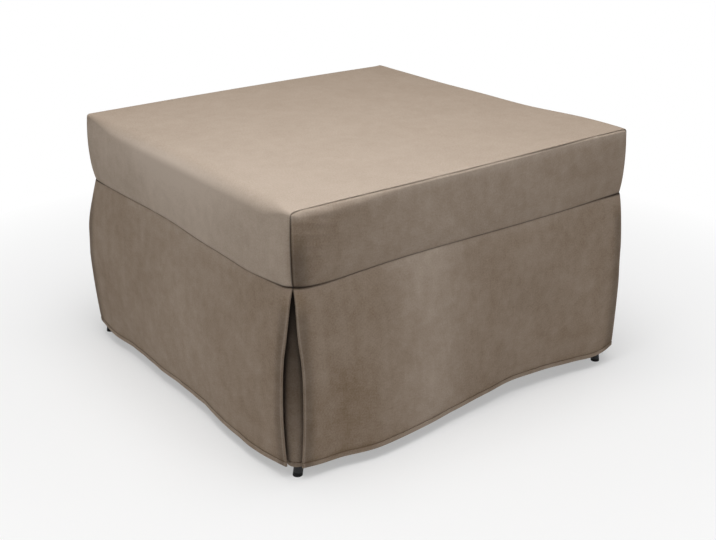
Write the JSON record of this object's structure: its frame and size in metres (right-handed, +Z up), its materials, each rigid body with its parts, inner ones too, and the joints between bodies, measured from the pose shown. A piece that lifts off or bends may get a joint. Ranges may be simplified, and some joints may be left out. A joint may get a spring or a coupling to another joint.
{
  "type": "fold-out ottoman guest bed",
  "caption": "Square ottoman seat under a fabric slipcover that folds out into a slatted single guest bed.",
  "frame": {"origin": "on the floor under the middle of the closed seat", "axes": "+Z up, -Y towards the front, -X towards the left end, where the bed folds out"},
  "size_m": [0.7462, 0.749, 0.4499],
  "materials": {
    "cover_cloth": "matte",
    "ticking": "matte",
    "frame_steel": "satin",
    "pin_steel": "satin",
    "slat_wood": "satin",
    "holder_plastic": "matte",
    "plug_plastic": "matte",
    "foot_plastic": "matte"
  },
  "bodies": {
    "base": {"base_side_rails": "frame_steel", "base_end_rails": "frame_steel", "base_rail_plugs": "plug_plastic", "base_slats": "slat_wood", "base_slat_holders": "holder_plastic", "base_mattress": "ticking", "base_fold_plates": "frame_steel", "base_leg_hoop_left": "frame_steel", "base_leg_hoop_right": "frame_steel", "base_foot_caps": "foot_plastic", "fold_pins": "pin_steel", "fold_washers": "plug_plastic"},
    "middle_section": {"middle_side_rails": "frame_steel", "middle_end_rails": "frame_steel", "middle_rail_plugs": "plug_plastic", "middle_slats": "slat_wood", "middle_slat_holders": "holder_plastic", "middle_mattress": "ticking", "middle_fold_plates": "frame_steel", "middle_head_plates": "frame_steel", "middle_leg_brackets": "frame_steel", "middle_leg_pins": "pin_steel", "head_pins": "pin_steel", "head_washers": "plug_plastic"},
    "middle_leg": {"middle_leg_bow": "frame_steel", "middle_leg_sleeves": "foot_plastic"},
    "head_section": {"head_side_rails": "frame_steel", "head_end_rails": "frame_steel", "head_rail_plugs": "plug_plastic", "head_slats": "slat_wood", "head_slat_holders": "holder_plastic", "head_mattress": "ticking", "head_fold_plates": "frame_steel", "head_leg_brackets": "frame_steel", "head_leg_pins": "pin_steel"},
    "head_leg": {"head_leg_bow": "frame_steel", "head_leg_sleeves": "foot_plastic"},
    "slipcover": {"cover_top_wrap": "cover_cloth", "cover_band_front": "cover_cloth", "cover_band_back": "cover_cloth", "cover_skirt_front": "cover_cloth", "cover_skirt_back": "cover_cloth", "cover_skirt_left": "cover_cloth", "cover_skirt_right": "cover_cloth", "cover_insert_front_left": "cover_cloth", "cover_insert_front_right": "cover_cloth", "cover_insert_back_left": "cover_cloth", "cover_insert_back_right": "cover_cloth"}
  },
  "joints": [
    {"name": "unfold", "type": "hinge", "parent": "base", "child": "middle_section", "pos_m": [-0.338, 0, 0.226], "axis": [0, -1, 0], "range_deg": [0, 180], "deforming": ["cover_top_wrap", "cover_band_front", "cover_band_back", "cover_skirt_front", "cover_skirt_back", "cover_skirt_left", "cover_skirt_right", "cover_insert_front_left", "cover_insert_front_right", "cover_insert_back_left", "cover_insert_back_right"]},
    {"name": "head_fold", "type": "hinge", "parent": "middle_section", "child": "head_section", "pos_m": [0.338, 0, 0.3363], "axis": [0, 1, 0], "range_deg": [0, 180]},
    {"name": "middle_leg_fold", "type": "hinge", "parent": "middle_section", "child": "middle_leg", "pos_m": [0.307, 0, 0.32575], "axis": [0, 1, 0], "range_deg": [0, 90]},
    {"name": "head_leg_fold", "type": "hinge", "parent": "head_section", "child": "head_leg", "pos_m": [-0.307, 0, 0.34685], "axis": [0, 1, 0], "range_deg": [0, 90]},
    {"name": "cover_lift", "type": "slide", "parent": "base", "child": "slipcover", "axis": [0, 0, 1], "range_m": [0, 0.46]}
  ],
  "couplings": [
    {"joint": "head_fold", "follows": "unfold", "ratio": 1},
    {"joint": "middle_leg_fold", "follows": "unfold", "ratio": 0.5},
    {"joint": "head_leg_fold", "follows": "unfold", "ratio": 0.5}
  ]
}
